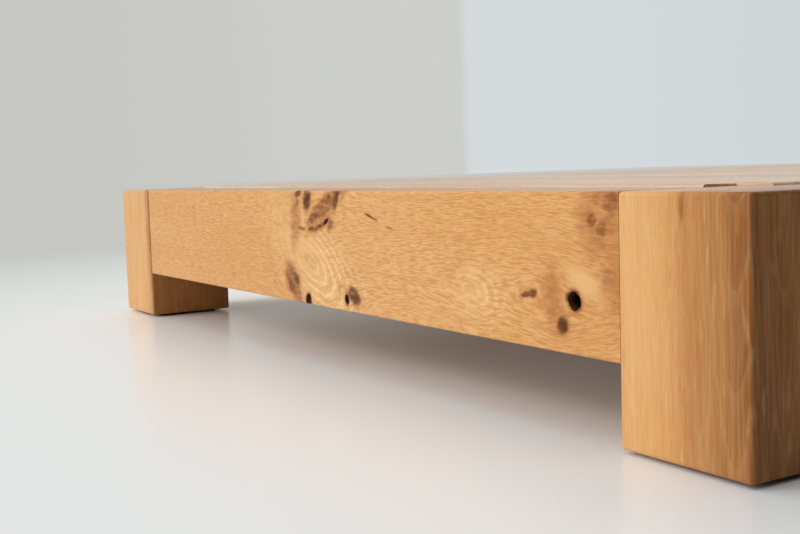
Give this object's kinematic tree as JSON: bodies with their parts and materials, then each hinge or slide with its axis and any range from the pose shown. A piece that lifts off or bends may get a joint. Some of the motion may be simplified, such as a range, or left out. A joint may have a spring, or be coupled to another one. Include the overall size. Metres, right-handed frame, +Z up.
{
  "type": "platform bed",
  "caption": "Low platform bed in knotty oak: square block legs, heavy beams between them, a flush slatted deck and a centre beam on screw-adjusted feet.",
  "frame": {"origin": "on the floor under the middle of the bed", "axes": "+X to the right of someone who stands at the foot and looks to the head, +Y from foot to head, +Z up"},
  "size_m": [1.66, 2.06, 0.253],
  "materials": {
    "oak": "oiled knotty oak, satin",
    "slat_wood": "planed pale hardwood, bare",
    "inner_timber": "planed softwood, bare",
    "dowel_wood": "hardwood dowel",
    "plated_sheet": "zinc-plated pressed steel",
    "plated_steel": "zinc-plated turned steel",
    "felt": "dense dark felt"
  },
  "bodies": {
    "bed": {"beam_dowels": "dowel_wood", "centre_beam": "inner_timber", "centre_hanger_foot": "plated_sheet", "centre_hanger_head": "plated_sheet", "centre_post_foot": "inner_timber", "centre_post_head": "inner_timber", "coach_screws": "plated_steel", "corner_angle_foot_left_on_foot_beam": "plated_sheet", "corner_angle_foot_left_on_left_beam": "plated_sheet", "corner_angle_foot_right_on_foot_beam": "plated_sheet", "corner_angle_foot_right_on_right_beam": "plated_sheet", "corner_angle_head_left_on_head_beam": "plated_sheet", "corner_angle_head_left_on_left_beam": "plated_sheet", "corner_angle_head_right_on_head_beam": "plated_sheet", "corner_angle_head_right_on_right_beam": "plated_sheet", "foot_beam": "oak", "foot_sleeves": "plated_steel", "head_beam": "oak", "jam_nuts": "plated_steel", "ledger_screws": "plated_steel", "left_beam": "oak", "left_ledger": "inner_timber", "leg_foot_left": "oak", "leg_foot_right": "oak", "leg_head_left": "oak", "leg_head_right": "oak", "pad_foot_left": "felt", "pad_foot_right": "felt", "pad_head_left": "felt", "pad_head_right": "felt", "pan_screws": "plated_steel", "post_plate_foot": "plated_sheet", "post_plate_head": "plated_sheet", "post_studs": "plated_steel", "right_beam": "oak", "right_ledger": "inner_timber", "slat_01": "slat_wood", "slat_02": "slat_wood", "slat_03": "slat_wood", "slat_04": "slat_wood", "slat_05": "slat_wood", "slat_06": "slat_wood", "slat_07": "slat_wood", "slat_08": "slat_wood", "slat_09": "slat_wood", "slat_10": "slat_wood", "slat_11": "slat_wood", "slat_12": "slat_wood", "slat_13": "slat_wood", "slat_14": "slat_wood", "slat_15": "slat_wood"},
    "foot_end_foot": {"levelling_foot_foot": "plated_steel", "foot_felt_foot": "felt"},
    "head_end_foot": {"levelling_foot_head": "plated_steel", "foot_felt_head": "felt"}
  },
  "joints": [
    {"name": "foot_end_levelling", "type": "slide", "parent": "bed", "child": "foot_end_foot", "axis": [0, 0, 1], "range_m": [-0.012, 0.012]},
    {"name": "head_end_levelling", "type": "slide", "parent": "bed", "child": "head_end_foot", "axis": [0, 0, 1], "range_m": [-0.012, 0.012]}
  ]
}
